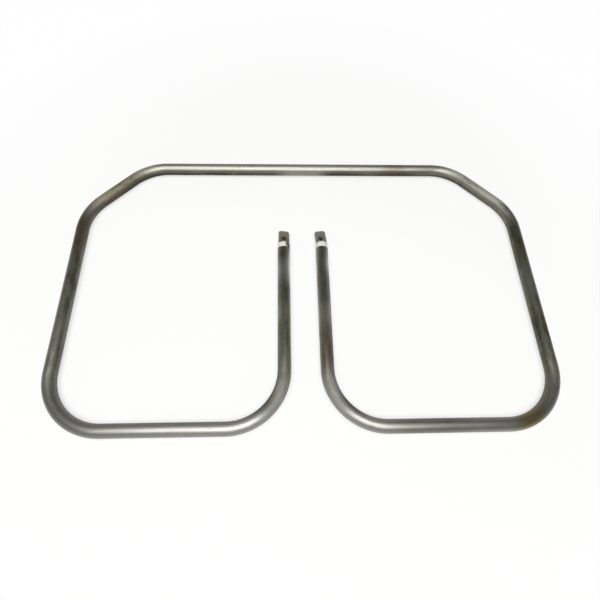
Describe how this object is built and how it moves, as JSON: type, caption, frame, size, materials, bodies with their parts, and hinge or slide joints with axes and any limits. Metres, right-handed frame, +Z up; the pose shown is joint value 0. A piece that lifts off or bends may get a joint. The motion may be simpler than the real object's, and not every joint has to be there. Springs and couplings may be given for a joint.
{
  "type": "tubular heating element",
  "caption": "Metal-sheathed tubular heating element bent to a flat rectangular loop with cut back corners, two central legs, ceramic end bushes and flat tab terminals.",
  "frame": {"origin": "under the middle of the loop, on the surface that the element lies on", "axes": "+X to the right along the long rails, +Y to the back, where the terminals point, +Z up, across the flat loop"},
  "size_m": [0.263, 0.166, 0.007],
  "materials": {
    "sheath_steel": "satin drawn stainless steel with brown and olive heat tint",
    "blade_steel": "satin nickel-plated steel, slightly oxidised",
    "pin_steel": "drawn steel",
    "bush_ceramic": "unglazed off-white steatite",
    "magnesia": "compacted white powder",
    "coil_wire": "nickel-chrome resistance wire",
    "seal_resin": "cured silicone resin"
  },
  "bodies": {
    "root": {"sheath": "sheath_steel", "resistance_coil": "coil_wire", "magnesia_fill": "magnesia", "cold_pin_left": "pin_steel", "cold_pin_right": "pin_steel", "end_seal_left": "seal_resin", "end_seal_right": "seal_resin", "ceramic_bush_left": "bush_ceramic", "ceramic_bush_right": "bush_ceramic", "terminal_blade_left": "blade_steel", "terminal_blade_right": "blade_steel"}
  },
  "joints": []
}
